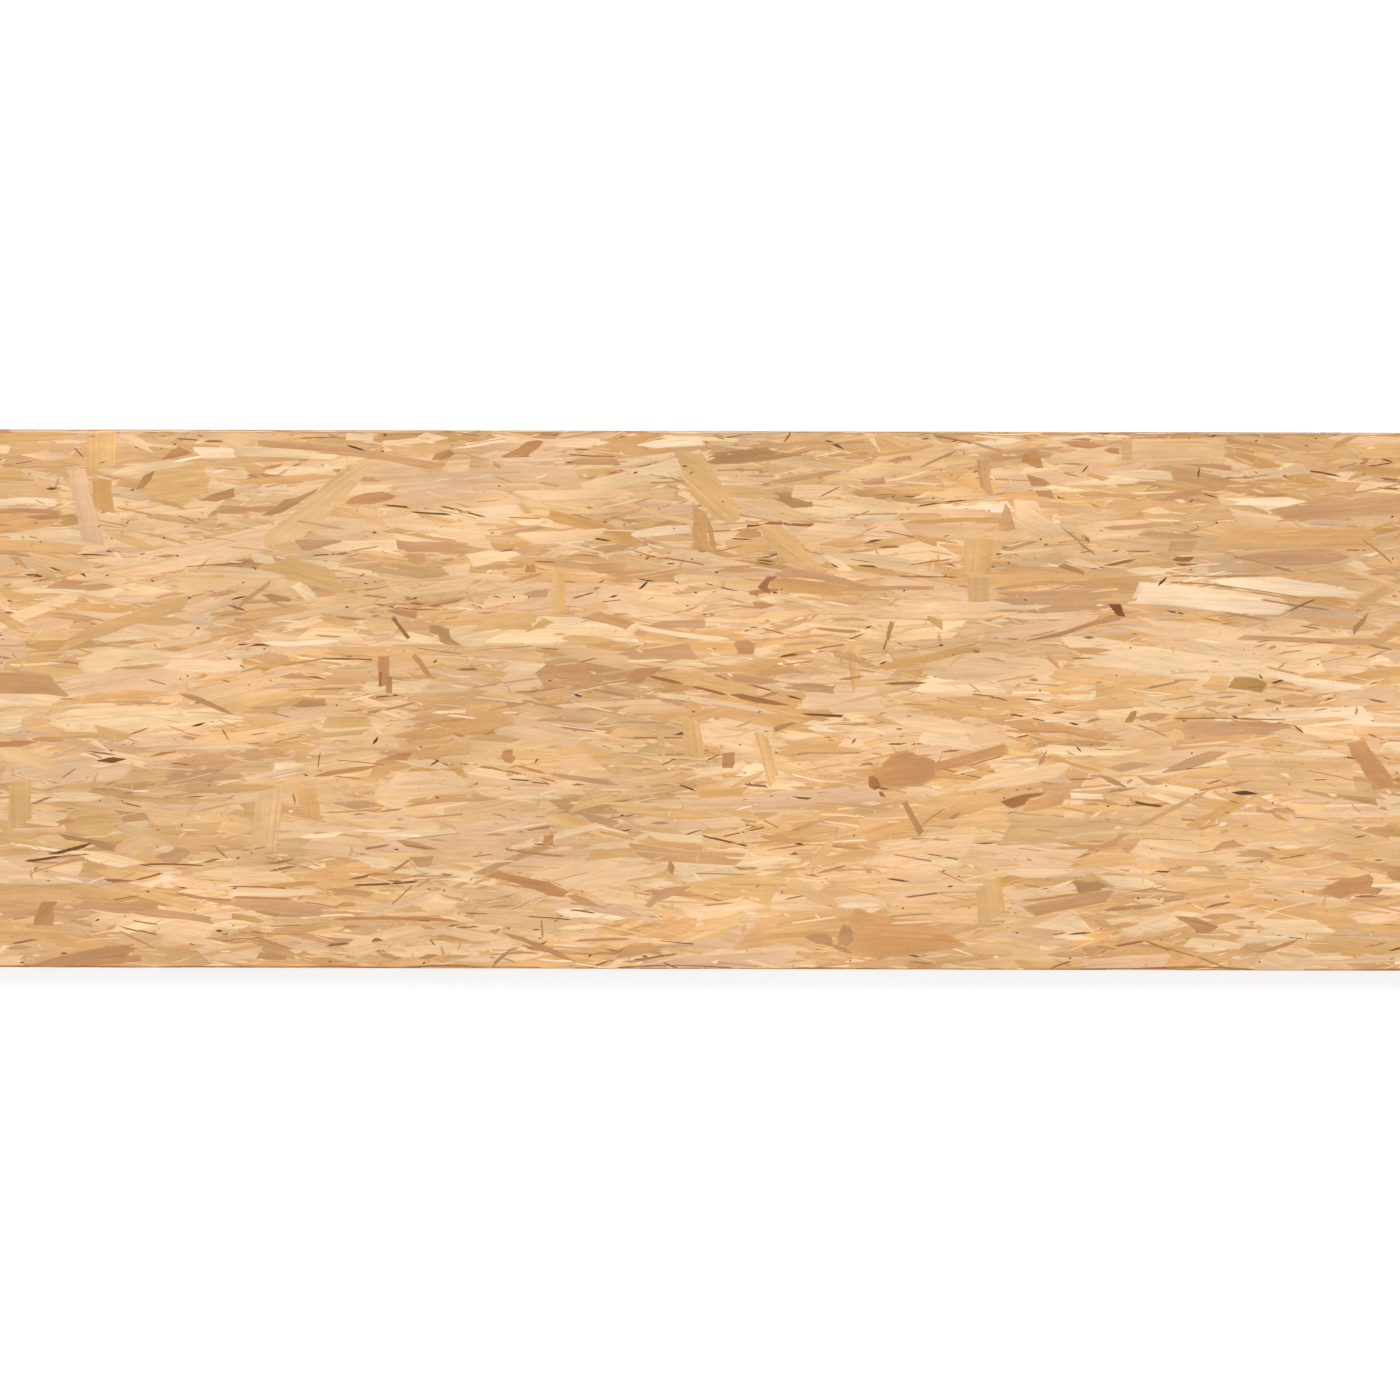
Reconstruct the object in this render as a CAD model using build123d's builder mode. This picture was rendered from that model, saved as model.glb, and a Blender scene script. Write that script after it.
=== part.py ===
from build123d import *
import os

# One panel of oriented strand board, pressed and sawn as a single sheet, lying flat.
# X runs along the panel, Y across it and Z up through its thickness.
# The origin is the middle of the bottom face. Every size is in millimetres.

board_length = 1220.0
board_width = 320.0
board_thickness = 18.0

# The sawn corners are rubbed down a little, on the faces and at the four uprights.
arris_ease = 0.6

# Strand-end voids in the sawn edges. A void is as tall as the strand that ends there,
# and closes to nothing along the edge where its neighbours come together again.
# Each kind is its length along the edge, its height at the strand's end and its depth.
void_kinds = (
    (19.0, 1.3, 4.0),
    (12.0, 0.9, 2.6),
    (27.0, 1.0, 3.2),
)
void_spacing = 62.0
void_scatter = 26.0
void_cover = 3.2
void_corner_gap = 12.0

# Break-outs along the arrises, where the saw lifted the end of a strand.
# Each kind is its length along the edge, its bite into the face and its depth below it.
chip_kinds = (
    (8.0, 1.1, 1.3),
    (5.0, 0.8, 0.9),
)
chip_overrun = 1.0

# Places of the break-outs, as shares of half the edge's run from its middle.
upper_chips = {
    "back": (-0.82, -0.348, 0.398, 0.518, 0.76),
    "front": (-0.61, 0.12, 0.87),
    "right": (-0.46, 0.38),
    "left": (-0.22, 0.66),
}
lower_chips = {
    "back": (-0.55, 0.64),
    "front": (-0.29, 0.47),
    "right": (0.15,),
    "left": (-0.71,),
}

# The golden ratio spreads the voids evenly without a rhythm that the eye can find.
golden_ratio = 0.6180339887


def spread(index):
    """An even but irregular series of shares between 0 and 1."""
    return (index * golden_ratio) % 1.0


def edge_plane(outward, along, reach):
    """The plane of one sawn edge, with its x axis along the edge and its y axis up."""
    return Plane(origin=Vector(outward) * reach, x_dir=along, z_dir=outward)


# Each sawn edge: its plane, whose origin is at the foot of the edge, and its run.
sawn_edges = {
    "front": (edge_plane((0, -1, 0), (1, 0, 0), board_width / 2), board_length),
    "back": (edge_plane((0, 1, 0), (-1, 0, 0), board_width / 2), board_length),
    "right": (edge_plane((1, 0, 0), (0, 1, 0), board_length / 2), board_width),
    "left": (edge_plane((-1, 0, 0), (0, -1, 0), board_length / 2), board_width),
}


def void_places(run):
    """Place, height and direction of each void along an edge of the given run."""
    longest = max(length for length, height, depth in void_kinds)
    usable = run - 2 * (void_corner_gap + longest / 2 + void_scatter / 2)
    count = max(1, int(usable / void_spacing))
    layer_room = board_thickness - 2 * void_cover
    places = []
    for index in range(count):
        step = ((index + 0.5) / count - 0.5) * usable
        along = step + (spread(3 * index + 1) - 0.5) * void_scatter
        height = void_cover + spread(index + 1) * layer_room
        direction = 1 if index % 2 else -1
        places.append((along, height, direction))
    return places


def void_outline(length, height, direction):
    """A void's mouth: square at the strand's end, with two flat curves to a point."""
    square_end = -direction * length / 2
    point = (direction * length / 2, 0)
    bulge = height * 0.36
    with BuildSketch(mode=Mode.PRIVATE) as mouth:
        with BuildLine():
            Line((square_end, -height / 2), (square_end, height / 2))
            ThreePointArc((square_end, height / 2), (0, bulge), point)
            ThreePointArc(point, (0, -bulge), (square_end, -height / 2))
        make_face()
    return mouth.sketch


def chip_outline(length, bite):
    """A break-out seen from above: a shallow arc into the face, open at the edge."""
    with BuildSketch(mode=Mode.PRIVATE) as scar:
        with BuildLine():
            ThreePointArc((-length / 2, 0), (0, bite), (length / 2, 0))
            Polyline(
                (length / 2, 0),
                (length / 2, -chip_overrun),
                (-length / 2, -chip_overrun),
                (-length / 2, 0),
            )
        make_face()
    return scar.sketch


with BuildPart() as osb_panel:
    # The sheet as it is pressed and sawn to size.
    with BuildSketch():
        Rectangle(board_length, board_width)
    extrude(amount=board_thickness)
    chamfer(osb_panel.edges(), arris_ease)

    # Voids: one sketch for each kind on each edge, cut straight in.
    for plane, run in sawn_edges.values():
        places = void_places(run)
        for kind, (length, height, depth) in enumerate(void_kinds):
            with BuildSketch(plane):
                for along, middle, direction in places[kind :: len(void_kinds)]:
                    with Locations((along, middle)):
                        add(void_outline(length, height, direction))
            extrude(amount=-depth, mode=Mode.SUBTRACT)

    # Break-outs on the upper and lower arrises.
    for edge, (plane, run) in sawn_edges.items():
        faces = (
            (upper_chips[edge], board_thickness, 1),
            (lower_chips[edge], 0.0, -1),
        )
        for shares, level, facing in faces:
            along_edge = plane.x_dir * facing
            start = plane.origin + Vector(0, 0, level)
            face_plane = Plane(origin=start, x_dir=along_edge, z_dir=(0, 0, facing))
            for index, share in enumerate(shares):
                length, bite, depth = chip_kinds[index % len(chip_kinds)]
                with BuildSketch(face_plane):
                    with Locations((share * facing * run / 2, 0)):
                        add(chip_outline(length, bite))
                extrude(amount=-depth, mode=Mode.SUBTRACT)

osb_panel.part.label = "osb_panel"

os.makedirs("parts", exist_ok=True)
export_step(osb_panel.part, "parts/osb_panel.step")
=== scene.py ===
import math
import random
from collections import namedtuple

import bpy
import numpy as np
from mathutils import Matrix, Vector


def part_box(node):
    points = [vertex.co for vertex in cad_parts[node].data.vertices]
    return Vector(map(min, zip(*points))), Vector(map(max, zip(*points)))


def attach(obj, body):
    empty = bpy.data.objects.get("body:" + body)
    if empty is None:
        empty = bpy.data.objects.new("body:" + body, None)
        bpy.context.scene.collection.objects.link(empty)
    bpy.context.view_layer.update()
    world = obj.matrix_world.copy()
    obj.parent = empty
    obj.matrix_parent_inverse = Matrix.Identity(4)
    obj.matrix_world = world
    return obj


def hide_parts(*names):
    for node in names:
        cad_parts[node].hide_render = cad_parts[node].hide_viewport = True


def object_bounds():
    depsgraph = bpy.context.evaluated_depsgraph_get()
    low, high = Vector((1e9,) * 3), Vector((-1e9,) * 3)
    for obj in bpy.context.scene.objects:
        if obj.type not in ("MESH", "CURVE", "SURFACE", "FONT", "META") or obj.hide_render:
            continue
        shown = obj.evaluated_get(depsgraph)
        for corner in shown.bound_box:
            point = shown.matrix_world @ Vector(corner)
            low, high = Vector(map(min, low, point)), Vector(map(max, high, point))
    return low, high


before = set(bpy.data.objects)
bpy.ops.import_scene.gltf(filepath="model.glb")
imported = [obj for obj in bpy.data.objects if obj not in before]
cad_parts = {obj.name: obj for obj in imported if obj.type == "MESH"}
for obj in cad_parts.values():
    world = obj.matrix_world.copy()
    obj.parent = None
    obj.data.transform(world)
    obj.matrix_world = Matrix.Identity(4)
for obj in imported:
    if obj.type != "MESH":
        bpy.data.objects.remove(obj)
cad_low, cad_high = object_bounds()

# One panel of oriented strand board. The strands are drawn in millimetres, in the plane
# of each face, and become metres when their mesh is made.
MM = 0.001
NODE = "osb_panel"
BODY = "root"

panel_low, panel_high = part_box(NODE)
LENGTH = (panel_high.x - panel_low.x) / MM
WIDTH = (panel_high.y - panel_low.y) / MM
THICK = (panel_high.z - panel_low.z) / MM

ARRIS = 0.6  # eased corner, along each face
SKIN = 0.8  # height range of the strands that show on a face
ROOT = 1.1  # depth under the face that every face strand reaches down to
CORE_INSET = 0.75  # how far the core lies behind the strands of the faces
CORE_EDGE = 0.8  # share of that inset behind the sawn edges
EDGE_SKIN = 0.42  # depth range of the strand ends that show on a sawn edge
EDGE_ROOT = 0.7  # depth that they all reach down to
EDGE_GAP = 0.05  # between a sawn edge's strands and the eased corners
FACE_CELL = (0.6, 0.6)  # cells of the grid that tells which strands show
EDGE_CELL = (0.5, 0.12)


def srgb(code):
    """A linear colour from an sRGB code."""
    channels = [int(code[i : i + 2], 16) / 255 for i in (1, 3, 5)]
    return [c / 12.92 if c <= 0.04045 else ((c + 0.055) / 1.055) ** 2.4 for c in channels]


TONES = {name: srgb(code) for name, code in dict(
    straw="#E5B885", tan="#DDAB73", sand="#D7A874", pale="#EDC396", cream="#F0CCA0",
    white="#FBDAB6", pink="#E4B990", clay="#D29B66", honey="#D0965C", amber="#DFB075",
    orange="#DEAA70", ochre="#D29F62", olive="#CEA96E", dun="#CC9A68", mauve="#CA996E",
    russet="#C48C5A", fawn="#BB895A", moss="#B08448", brown="#A36C3D", umber="#7E491C",
    bark="#5C341A",
).items()}
GROUND = srgb("#DDB180")


# The faces of the panel

# A face: its own axes s, t and h (outward), its rectangle, its height along h and its grid's cells.
Face = namedtuple("Face", "axes origin s_range t_range reach cell")

half_length = LENGTH / 2
half_width = WIDTH / 2
edge_heights = (ARRIS + EDGE_GAP, THICK - ARRIS - EDGE_GAP)


def broad_face(t_axis, h_axis, origin):
    return Face(((1, 0, 0), t_axis, h_axis), origin, (-half_length, half_length),
                (-half_width, half_width), THICK, FACE_CELL)


def sawn_face(s_axis, h_axis, half_run, reach):
    return Face((s_axis, (0, 0, 1), h_axis), (0, 0, 0), (-half_run, half_run), edge_heights, reach, EDGE_CELL)


def place(face, points, level):
    """Points of a face's plane, at one level, as millimetres of the panel."""
    flat = np.column_stack([points, np.full(len(points), level)])
    return flat @ np.array(face.axes, float) + np.array(face.origin, float)


FACES = {
    "top": broad_face((0, 1, 0), (0, 0, 1), (0, 0, 0)),
    "under": broad_face((0, -1, 0), (0, 0, -1), (0, 0, THICK)),
    "front": sawn_face((1, 0, 0), (0, -1, 0), half_length, half_width),
    "back": sawn_face((-1, 0, 0), (0, 1, 0), half_length, half_width),
    "right": sawn_face((0, 1, 0), (1, 0, 0), half_width, half_length),
    "left": sawn_face((0, -1, 0), (-1, 0, 0), half_width, half_length),
}


# Outlines of strands

SQUARE, SLANT, POINT, SPLINTER = "slpt"  # cuts of a strand's end, as the lists below write them
BROAD = 7.5  # width from which a strand's ends are blunt
RIMMED = 3.0  # width from which a strand has a soft rim
WIDEST_END = 0.4  # most of a strand's length that its end counts as wide
LONGEST_TIP = 0.42  # most of its length that a tip takes, and a blunt tip
LONGEST_BLUNT_TIP = 0.3
# Leans of the cuts and lengths of tips and teeth, in strand widths.
SQUARE_LEAN = 0.12
SLANT_LEAN = 1.1
BLUNT_SLANT_LEAN = 0.45
TIP = (1.2, 2.6)
BLUNT_TIP = (0.8, 1.9)
SIDE_TOOTH = (-0.9, 0.1)
NOTCH = (-1.4, -0.4)
TOOTH = (-0.3, 0.6)


def end_profile(rng, cut, length, width):
    """A strand's end from its left side to its right, as (reach along, share of half width)."""
    blunt = width > BROAD
    width = min(width, length * WIDEST_END)
    if cut == SQUARE:
        lean = rng.uniform(-SQUARE_LEAN, SQUARE_LEAN) * width
        return [(lean, 1.0), (lean * 0.3 + rng.uniform(-0.08, 0.08) * width, 0.1), (-lean, -1.0)]
    if cut == SLANT:
        steepest = BLUNT_SLANT_LEAN if blunt else SLANT_LEAN
        lean = rng.choice((-1, 1)) * rng.uniform(0.3 * steepest, steepest) * width
        return [(lean, 1.0), (lean * rng.uniform(-0.2, 0.2), rng.uniform(-0.2, 0.2)), (-lean, -1.0)]
    if cut == POINT:
        tip = rng.uniform(-0.5, 0.5)
        if blunt:
            draw = min(rng.uniform(*BLUNT_TIP) * width, length * LONGEST_BLUNT_TIP)
            near = -draw * rng.uniform(0.08, 0.3)
            if tip > 0:
                return [(near, 1.0), (0.0, 0.75), (-draw * 0.35, 0.1), (-draw, -1.0)]
            return [(-draw, 1.0), (-draw * 0.4, -0.15), (0.0, -0.8), (near, -1.0)]
        draw = min(rng.uniform(*TIP) * width, length * LONGEST_TIP)
        return [(-draw, 1.0), (0.0, tip + 0.12), (0.0, tip - 0.12), (-draw, -1.0)]
    teeth = [(rng.uniform(*SIDE_TOOTH) * width, 1.0)]
    share = 1.0
    while share > -0.6:
        share -= rng.uniform(0.35, 0.8)
        teeth.append((rng.uniform(*NOTCH) * width, max(share, -0.9)))
        share -= rng.uniform(0.08, 0.3)
        teeth.append((rng.uniform(*TOOTH) * width, max(share, -0.95)))
    teeth.append((rng.uniform(*SIDE_TOOTH) * width, -1.0))
    return teeth


def rotation(angle):
    """The matrix that turns points, written as rows, by an angle."""
    c, s = math.cos(angle), math.sin(angle)
    return np.array([[c, s], [-s, c]])


MOST_STATIONS = 4  # corners between the ends of a side, one for each 16 mm
STATION_SPACING = 16
WAVE = 0.05  # how much a strand's sides waver, and those of a thin one
THIN_WAVE = 0.12
THIN = 4
BOW = 0.016  # bends along a strand, as shares of its length
SWAY = 0.006


def outline(rng, length, width, cuts, angle, centre, end_widths=(1.0, 1.0)):
    """A strand's closed outline, drawn with u along the grain and v across it, then laid on the face."""
    first = [(-length / 2 - du, v) for du, v in end_profile(rng, cuts[0], length, width)]
    last = [(length / 2 + du, v) for du, v in end_profile(rng, cuts[1], length, width)]
    stations = min(MOST_STATIONS, int(length / STATION_SPACING))
    wave = WAVE if width > THIN else THIN_WAVE

    def half(u):
        share = min(1.0, max(0.0, u / length + 0.5))
        return width / 2 * (end_widths[0] * (1 - share) + end_widths[1] * share)

    def side(sign, from_u, to_u):
        run = to_u - from_u
        return [(from_u + run * (i + 1 + rng.uniform(-0.3, 0.3)) / (stations + 1),
                 sign * (1 + rng.uniform(-wave, wave))) for i in range(stations)]

    # Anticlockwise: the start end from left to right, the right side, the far end, the left side.
    ring = first + side(-1, first[-1][0], last[-1][0]) + last[::-1] + side(1, last[0][0], first[0][0])
    bow = rng.gauss(0, BOW) * length
    sway = rng.gauss(0, SWAY) * length
    turn = rng.uniform(0, 2 * math.pi)

    def bend(u):
        return bow * (1 - (2 * u / length) ** 2) + sway * math.sin(turn + 2 * math.pi * u / length)

    drawn = np.array([(u, v * half(u) + bend(u)) for u, v in ring])
    return drawn @ rotation(angle) + np.array(centre)


def clipped(points, low, high):
    """The part of an outline inside a rectangle."""
    ring = [tuple(p) for p in points]
    for axis, limit, keep in ((0, low[0], 1), (0, high[0], -1), (1, low[1], 1), (1, high[1], -1)):
        if all(keep * (p[axis] - limit) >= 0 for p in ring):
            continue
        cut = []
        for p, q in zip(ring, ring[1:] + ring[:1]):
            p_in = keep * (p[axis] - limit) >= 0
            q_in = keep * (q[axis] - limit) >= 0
            if p_in:
                cut.append(p)
            if p_in != q_in:
                share = (limit - p[axis]) / (q[axis] - p[axis])
                cut.append(tuple(p[k] + share * (q[k] - p[k]) for k in (0, 1)))
        ring = cut
        if len(ring) < 3:
            return None
    return np.array(ring)


# Strands, in the order that they are laid

GRAIN_SHIFT = 9  # metres by which the wood pattern may be shifted from strand to strand
TONE_SLOPE = (0.05, 0.03)  # spread of the change of tone along a strand and across it
SPREAD = 0.05  # spread of lightness among random strands
PLACED_SPREAD = 0.02  # and among those that the photograph shows
WARMTH = 0.010  # how much warmer than its name a tone is
WARM_SPREAD = 0.15  # spreads of warmth and greenness, as shares of the spread of lightness
GREEN_SPREAD = 0.2


class Strand:
    """A strand: its outline, its grain's direction, its tone and where it takes the wood pattern from."""

    def __init__(self, points, angle, tone, rng, rim=True):
        self.points = points
        self.angle = angle
        self.tone = tone
        self.rim = rim
        self.grain = (rng.uniform(0, GRAIN_SHIFT), rng.uniform(0, GRAIN_SHIFT))
        self.slope = np.array([rng.gauss(0, spread) for spread in TONE_SLOPE])
        self.level = 0


def tinted(rng, name, spread=SPREAD):
    """A named tone, a little lighter or darker and a little warmer or cooler."""
    light = 1 + rng.gauss(0, spread)
    warm = rng.gauss(WARMTH, spread * WARM_SPREAD)
    green_cast = rng.uniform(-1, 1) * spread * GREEN_SPREAD
    red, green, blue = TONES[name]
    return (red * light, green * light * (1 - 0.5 * warm + green_cast), blue * light * (1 - 2.2 * warm))


# A kind of random strand: number to the square metre, length and width in millimetres, share
# that lies steeply across, spread of the others' angle, least length in strand widths, cuts,
# place among the layers and share of each tone.
Kind = namedtuple("Kind", "number length width steep lean slim cuts layer tones")

BROAD_STRANDS = Kind(3600, (34, 124), (7, 20), 0.0, 0.15, 3.2, "lltp", 0.25, dict(
    straw=27, tan=14, sand=10, pale=24, cream=9, white=1, pink=15, amber=8, orange=3.5, ochre=3.5,
    dun=2.5, mauve=2))
NARROW_STRANDS = Kind(6400, (14, 90), (2.2, 8), 0.02, 0.18, 6.0, "lptp", 0.3, dict(
    straw=22, tan=13, sand=10, pale=22, cream=13, white=2, pink=14, amber=8, orange=4, ochre=5, dun=5,
    mauve=4, russet=1, fawn=0.4))
MIXED_SLIVERS = Kind(10500, (5, 46), (0.6, 2.4), 0.03, 0.2, 6.0, "plp", 0.5, dict(
    straw=14, tan=11, sand=9, pale=20, cream=15, white=5, pink=9, amber=8, ochre=6, dun=13, mauve=7,
    russet=7, fawn=7, brown=9.5, umber=6.5))
CRUMBS = Kind(7500, (2, 9), (0.8, 3.0), 0.25, 0.35, 2.0, "lp", 0.8, dict(
    straw=12, tan=8, pale=16, cream=12, white=3, amber=8, ochre=7, dun=9, pink=6, russet=3, fawn=3,
    brown=2.2))
# Pinholes: dark specks whose darkness is painted shade in the holes, with bark and resin tones among them.
PINHOLES = Kind(2600, (1.2, 4.4), (0.5, 1.7), 0.3, 0.35, 1.6, "lp", 0.95, dict(
    brown=9, umber=9, bark=3, moss=3, russet=2))
FACE_KINDS = (BROAD_STRANDS, NARROW_STRANDS, MIXED_SLIVERS, CRUMBS, PINHOLES)

# Fine slivers that lie over the broad strands and break their edges up.
FINE_SLIVERS = Kind(4600, (5, 38), (0.6, 2.0), 0.0, 0.17, 6.0, "plp", 0.0, dict(
    straw=16, tan=10, sand=8, pale=22, cream=14, white=3, pink=10, amber=8, ochre=4, dun=6, mauve=3))

SHORTNESS = 1.5  # power that makes short strands more common than long ones
STEEP_TONES = dict(amber=5, tan=4, straw=5, sand=2, dun=1)
STEEP_LENGTH = 60  # longest strand that lies steeply across, in millimetres
STEEP_SLIM = 6  # and in strand widths
LEANING = 0.25  # angle from which thin strands stay short
LEANING_WIDTH = 3
LEANING_LENGTH = 14


def random_strands(rng, face, kinds, share=1.0):
    """Strands strewn over a face, the kinds' layers mixed, the lowest first."""
    s_low, s_high = face.s_range
    t_low, t_high = face.t_range
    area = (s_high - s_low) * (t_high - t_low) * MM * MM
    laid = []
    for kind in kinds:
        shortest, longest = kind.length
        for _ in range(int(kind.number * area * share)):
            length = shortest + (longest - shortest) * rng.random() ** SHORTNESS
            width = rng.uniform(*kind.width)
            length = max(length, kind.slim * width)
            angle = rng.gauss(0, kind.lean)
            tones = kind.tones
            if abs(angle) > LEANING and width < LEANING_WIDTH:
                length = min(length, LEANING_LENGTH)
            if rng.random() < kind.steep:
                angle = rng.uniform(-math.pi / 2, math.pi / 2)
                length = min(length, STEEP_LENGTH, STEEP_SLIM * width)
                tones = STEEP_TONES
            centre = (rng.uniform(s_low, s_high), rng.uniform(t_low, t_high))
            cuts = (rng.choice(kind.cuts), rng.choice(kind.cuts))
            shape = outline(rng, length, width, cuts, angle, centre)
            tone = tinted(rng, rng.choices(list(tones), list(tones.values()))[0])
            strand = Strand(shape, angle, tone, rng, rim=width > RIMMED)
            laid.append((kind.layer + rng.random(), strand))
    laid.sort(key=lambda entry: entry[0])
    return [strand for _, strand in laid]


GROUND_LENGTH = (95, 120)
GROUND_WIDTH = 15
GROUND_ROW = 9.0  # distance between rows, and between neighbours in a row
GROUND_COLUMN = 75.0
GROUND_STARTS = ((-30.0, 0.0), (7.0, 4.5))


def ground_strands(rng, face):
    """Two layers of broad strands in overlapping rows, so that nothing shows between the others."""
    s_low, s_high = face.s_range
    t_low, t_high = face.t_range
    laid = []
    for shift_s, shift_t in GROUND_STARTS:
        for t in np.arange(t_low + shift_t, t_high + 6, GROUND_ROW):
            for s in np.arange(s_low + shift_s, s_high + 60, GROUND_COLUMN):
                length = rng.uniform(*GROUND_LENGTH)
                centre = (s + rng.uniform(-12, 12), t + rng.uniform(-1, 1))
                angle = rng.gauss(0, 0.02)
                tone = tinted(rng, rng.choice(("straw", "tan", "sand", "dun", "ochre")))
                shape = outline(rng, length, GROUND_WIDTH, (SQUARE, SQUARE), angle, centre)
                laid.append(Strand(shape, angle, tone, rng))
    return laid


# Veins: the least strand that has them, their length, width and distance from its sides as
# shares of the strand's, and how much lighter or darker than it they are.
VEINED_WIDTH = 3.4
VEINED_LENGTH = 14
VEINED_ANGLE = 0.7
VEIN_LENGTH = (0.25, 0.75)
VEIN_WIDTH = (0.10, 0.26)
WIDEST_VEIN = 2.6
VEIN_MARGIN = 0.2
VEIN_TONE = (0.02, 0.08)
VEIN_SPACING = 4  # strand width for each vein, up to four of them


def veins(rng, strands, share):
    """Thin layers split off the broad strands, a little lighter or darker than the strand itself."""
    laid = []
    for strand in strands:
        laid.append(strand)
        c, s = math.cos(strand.angle), math.sin(strand.angle)
        own = strand.points @ rotation(-strand.angle)
        low, high = own.min(0), own.max(0)
        length, width = high - low
        if width < VEINED_WIDTH or length < VEINED_LENGTH or abs(strand.angle) > VEINED_ANGLE:
            continue
        for _ in range(int(rng.random() + share * min(4.0, width / VEIN_SPACING))):
            reach = length * rng.uniform(*VEIN_LENGTH)
            thin = min(rng.uniform(*VEIN_WIDTH) * width, WIDEST_VEIN)
            u = rng.uniform(low[0] + reach * 0.55, high[0] - reach * 0.55)
            v = rng.uniform(low[1] + width * VEIN_MARGIN, high[1] - width * VEIN_MARGIN)
            centre = (u * c - v * s, u * s + v * c)
            angle = strand.angle + rng.gauss(0, 0.025)
            light = 1 + rng.choice((-1, 1)) * rng.uniform(*VEIN_TONE)
            tone = [channel * light for channel in strand.tone]
            shape = outline(rng, reach, thin, (POINT, POINT), angle, centre)
            laid.append(Strand(shape, angle, tone, rng, rim=False))
    return laid


ROW_SPACING = 34.0
ROW_OVERHANG = 20  # how far the rows start and end outside the panel
ROW_LENGTH = (44, 76)
ROW_WIDTH = (0.8, 1.2)


def painted_arris_rows(rng, t, tones):
    """Slivers that follow a long arris from end to end: painted light along a lit arris, painted shade along
    a shaded one.
    """
    laid = []
    for s in np.arange(-half_length - ROW_OVERHANG, half_length + ROW_OVERHANG, ROW_SPACING):
        centre = (s + rng.uniform(-6, 6), t + rng.uniform(-0.12, 0.12))
        shape = outline(rng, rng.uniform(*ROW_LENGTH), rng.uniform(*ROW_WIDTH), (POINT, POINT), 0.0, centre)
        laid.append(Strand(shape, 0.0, tinted(rng, rng.choice(tones), 0.03), rng, rim=False))
    return laid


def placed(rng, text, read):
    """Strands that each have their own place, written as tone, numbers and cuts of the ends.
    One without a tone takes the tone of the one before it, and one without cuts is pointed."""
    laid = []
    for entry in text.split(","):
        words = entry.split()
        if words[0].isalpha():
            tone = words.pop(0)
        cuts = words.pop() if words[-1].isalpha() else (POINT, POINT)
        shape, angle, rim = read(rng, cuts, *map(float, words))
        laid.append(Strand(shape, angle, tinted(rng, tone, PLACED_SPREAD), rng, rim))
    return laid


def between(rng, cuts, x0, y0, x1, y1, width):
    """A strand from one end to the other."""
    angle = math.atan2(y1 - y0, x1 - x0)
    centre = ((x0 + x1) / 2, (y0 + y1) / 2)
    ends = (rng.uniform(0.75, 1), rng.uniform(0.75, 1))
    shape = outline(rng, math.hypot(x1 - x0, y1 - y0), width, cuts, angle, centre, ends)
    return shape, angle, width > RIMMED


def cornered(rng, cuts, *corners):
    """A strand whose outline is written down."""
    points = np.array(corners).reshape(-1, 2)
    ends = points[[points[:, 0].argmin(), points[:, 0].argmax()]]
    return points, math.atan2(*(ends[1] - ends[0])[::-1]), True


def speck(rng, cuts, x, y, length, width):
    """A crumb or pinhole about its middle; a pinhole's dark tone is painted shade."""
    angle = rng.gauss(0, 0.25)
    return outline(rng, length, width, (POINT, SLANT), angle, (x, y)), angle, width > RIMMED


class Raster:
    """A grid over a face that tells which strands show, and how many lie on each other."""

    def __init__(self, face):
        self.low = np.array([face.s_range[0], face.t_range[0]])
        self.cell = np.array(face.cell)
        high = np.array([face.s_range[1], face.t_range[1]])
        self.size = np.ceil((high - self.low) / self.cell).astype(int)

    def filled(self, value, kind):
        return np.full(self.size[::-1], value, kind)

    def cells(self, points, grow=0):
        """The rows and columns of the window around an outline, and which of its cells are covered."""
        grid = (points - self.low) / self.cell
        start = np.maximum(np.floor(grid.min(0)).astype(int) - grow, 0)
        stop = np.maximum(np.minimum(np.ceil(grid.max(0)).astype(int) + grow, self.size), start)
        columns = np.arange(start[0], stop[0]) + 0.5
        rows = np.arange(start[1], stop[1]) + 0.5
        mask = np.zeros((len(rows), len(columns)), bool)
        for (x0, y0), (x1, y1) in zip(grid, np.roll(grid, -1, 0)):
            crosses = (y0 > rows) != (y1 > rows)
            if crosses.any():
                at = x0 + (x1 - x0) * (rows[crosses] - y0) / (y1 - y0)
                mask[crosses] ^= columns[None, :] < at[:, None]
        for _ in range(grow):
            wide = mask.copy()
            wide[1:] |= mask[:-1]
            wide[:-1] |= mask[1:]
            wide[:, 1:] |= mask[:, :-1]
            wide[:, :-1] |= mask[:, 1:]
            mask = wide
        return slice(start[1], stop[1]), slice(start[0], stop[0]), mask


LEAST_CELLS = 4  # cells that a strand has to show in to be built


def showing(face, strands):
    """The strands that still show when all are laid."""
    raster = Raster(face)
    owner = raster.filled(-1, np.int32)
    for index, strand in enumerate(strands):
        rows, columns, mask = raster.cells(strand.points)
        owner[rows, columns][mask] = index
    seen = np.bincount(owner[owner >= 0], minlength=len(strands))
    return [strand for index, strand in enumerate(strands) if seen[index] >= LEAST_CELLS]


def stacked(face, strands):
    """Gives each strand its level, above all that it lies on, and tells the highest level."""
    raster = Raster(face)
    tops = raster.filled(0, np.int16)
    for strand in strands:
        rows, columns, mask = raster.cells(strand.points, grow=1)
        if mask.any():
            window = tops[rows, columns]
            strand.level = int(window[mask].max()) + 1
            window[mask] = strand.level
    return max(strand.level for strand in strands)


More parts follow.
